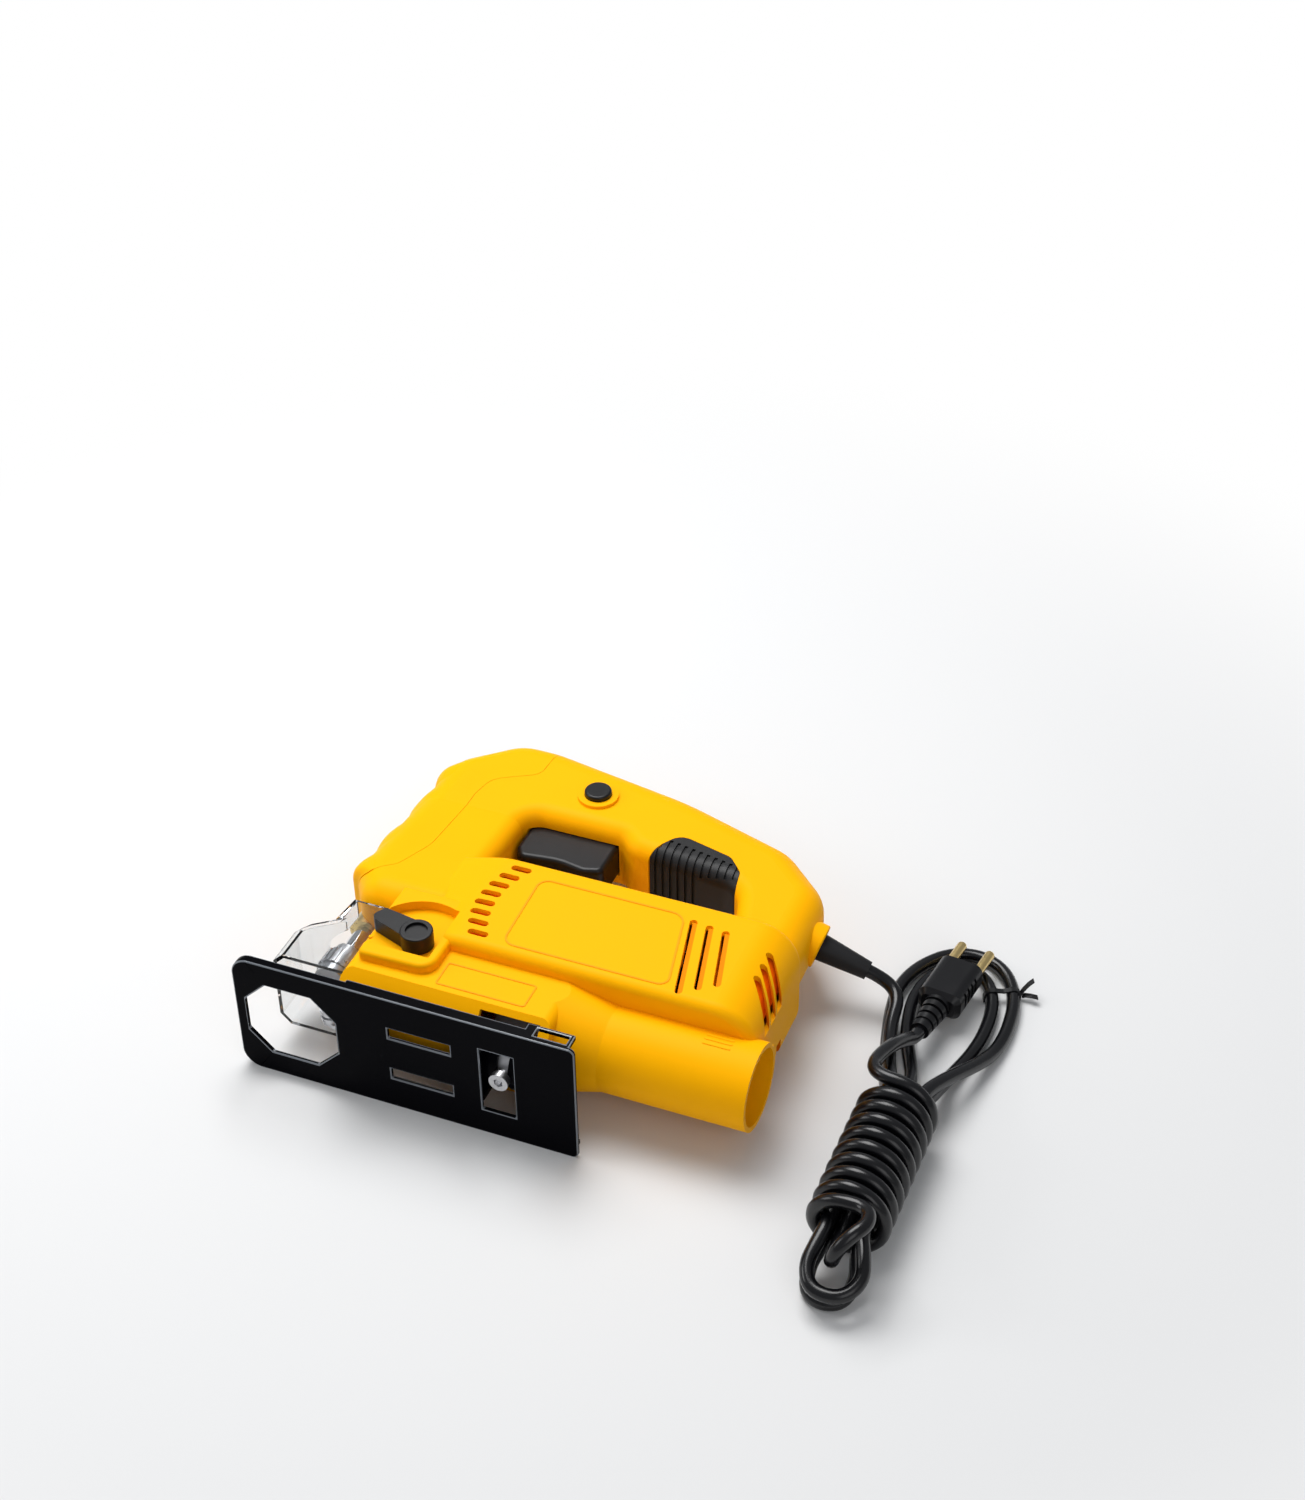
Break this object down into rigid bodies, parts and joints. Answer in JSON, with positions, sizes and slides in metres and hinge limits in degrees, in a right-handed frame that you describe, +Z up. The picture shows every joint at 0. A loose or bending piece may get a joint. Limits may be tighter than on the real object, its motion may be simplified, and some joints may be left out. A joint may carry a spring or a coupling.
{
  "type": "jigsaw",
  "caption": "Corded D-handle jigsaw lying on its side, with a tilting steel shoe, clear chip guard, pendulum lever, dust tube and a wound mains cord with its plug.",
  "frame": {"origin": "on the floor under the middle of the tool's own box, cord and plug left out", "axes": "tool lies on its right flank: +X from the shoe's front edge to the rear, +Y from the sole to the handle, +Z up through the left flank"},
  "size_m": [0.3202, 0.2578, 0.066],
  "materials": {
    "yellow_plastic": "satin",
    "black_plastic": "satin",
    "black_rubber": "matte",
    "cord_rubber": "satin",
    "clear_plastic": "clear, glossy",
    "black_paint": "gloss",
    "steel": "machined",
    "bright_steel": "polished",
    "core_steel": "stacked sheet",
    "copper": "lacquered wire",
    "brass": "satin",
    "carbon": "matte",
    "die_cast": "cast"
  },
  "bodies": {
    "tool": {"housing_left": "yellow_plastic", "housing_right": "yellow_plastic", "front_grip": "yellow_plastic", "handle_insert": "black_rubber", "housing_screws": "steel", "switch": "black_plastic", "stator": "core_steel", "stator_coils": "copper", "front_bearing": "bright_steel", "rear_bearing": "bright_steel", "brush_holders": "black_plastic", "carbon_brushes": "carbon", "gear_frame": "die_cast", "gear_axle": "steel", "upper_bush": "brass", "lower_bush": "brass", "arm_pivot": "bright_steel", "foot_block": "die_cast", "tilt_screw": "steel", "cord_sleeve": "black_rubber", "cord_lead": "cord_rubber", "cord_hank": "cord_rubber", "cord_wrap": "cord_rubber", "cord_tail": "cord_rubber", "plug_body": "black_plastic", "plug_pins": "brass", "cord_tie": "black_plastic"},
    "trigger": {"trigger": "black_plastic"},
    "lock_button": {"lock_button": "black_plastic"},
    "lever": {"pendulum_lever": "black_plastic", "lever_cam": "steel"},
    "armature": {"armature_shaft": "steel", "armature_core": "core_steel", "armature_winding": "copper", "commutator": "copper", "fan": "black_plastic"},
    "gear": {"drive_gear": "steel", "crank_pin": "steel"},
    "plunger": {"plunger": "bright_steel", "blade_clamp": "steel"},
    "collar": {"clamp_collar": "steel"},
    "arm": {"pendulum_arm": "steel", "roller_pin": "bright_steel"},
    "roller": {"guide_roller": "steel"},
    "sole": {"shoe": "black_paint", "shoe_bracket": "black_paint"},
    "guard": {"chip_guard": "clear_plastic"}
  },
  "joints": [
    {"name": "trigger_pull", "type": "slide", "parent": "tool", "child": "trigger", "axis": [0, 1, 0], "range_m": [0, 0.006], "stiffness_N_per_m": 1200, "springref_m": -0.002},
    {"name": "lock_button_press", "type": "slide", "parent": "tool", "child": "lock_button", "axis": [0, 0, -1], "range_m": [0, 0.003], "stiffness_N_per_m": 900, "springref_m": -0.001},
    {"name": "pendulum_select", "type": "hinge", "parent": "tool", "child": "lever", "pos_m": [-0.05642, -0.06161, 0.032], "axis": [0, 0, 1], "range_deg": [-90, 0]},
    {"name": "drive_gear_spin", "type": "hinge", "parent": "tool", "child": "gear", "pos_m": [-0.06642, -0.00606, 0.032], "axis": [1, 0, 0], "continuous": true},
    {"name": "armature_spin", "type": "hinge", "parent": "tool", "child": "armature", "pos_m": [0.00358, -0.02811, 0.032], "axis": [1, 0, 0], "continuous": true},
    {"name": "plunger_stroke", "type": "slide", "parent": "tool", "child": "plunger", "axis": [0, 1, 0], "range_m": [-0.01, 0.01]},
    {"name": "clamp_collar_turn", "type": "hinge", "parent": "plunger", "child": "collar", "pos_m": [-0.09642, -0.06561, 0.032], "axis": [0, 1, 0], "range_deg": [0, 40], "stiffness_Nm_per_rad": 0.06, "springref_deg": -5.73},
    {"name": "pendulum_swing", "type": "hinge", "parent": "tool", "child": "arm", "pos_m": [-0.06942, -0.07661, 0.032], "axis": [0, 0, 1], "range_deg": [-2, 2]},
    {"name": "guide_roller_spin", "type": "hinge", "parent": "arm", "child": "roller", "pos_m": [-0.08642, -0.09061, 0.032], "axis": [0, 0, 1], "continuous": true},
    {"name": "shoe_tilt", "type": "hinge", "parent": "tool", "child": "sole", "pos_m": [-0.04642, -0.08661, 0.032], "axis": [1, 0, 0], "range_deg": [-45, 45]},
    {"name": "guard_pull", "type": "slide", "parent": "tool", "child": "guard", "axis": [-1, 0, 0], "range_m": [0, 0.03]}
  ],
  "couplings": [
    {"joint": "armature_spin", "follows": "drive_gear_spin", "ratio": -6}
  ]
}
